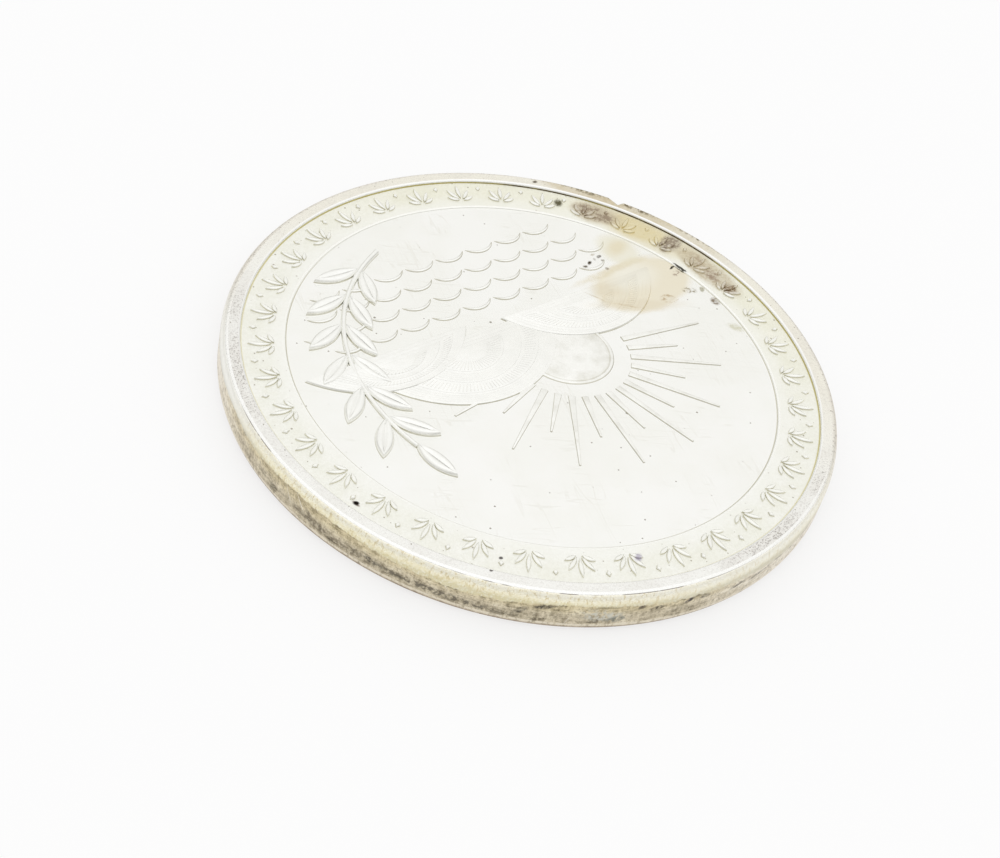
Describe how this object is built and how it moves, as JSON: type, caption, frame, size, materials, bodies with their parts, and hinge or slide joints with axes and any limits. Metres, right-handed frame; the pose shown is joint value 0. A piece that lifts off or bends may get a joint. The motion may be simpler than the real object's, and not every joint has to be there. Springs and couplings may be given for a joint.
{
  "type": "commemorative medal",
  "caption": "Round struck silver medal with a raised flat rim, a band of palmettes, a polished field with a low relief landscape, and a plain sunk back.",
  "frame": {"origin": "centre of the back rim's plane, on the medal's axis, where the medal rests", "axes": "+Z out of the picture side along the medal's axis, +Y towards the top of the picture"},
  "size_m": [0.039, 0.039, 0.0029],
  "materials": {
    "silver": "struck silver: mirror field, satin band and relief, frosted rim, tarnished wall"
  },
  "bodies": {
    "root": {"medal": "silver"}
  },
  "joints": []
}
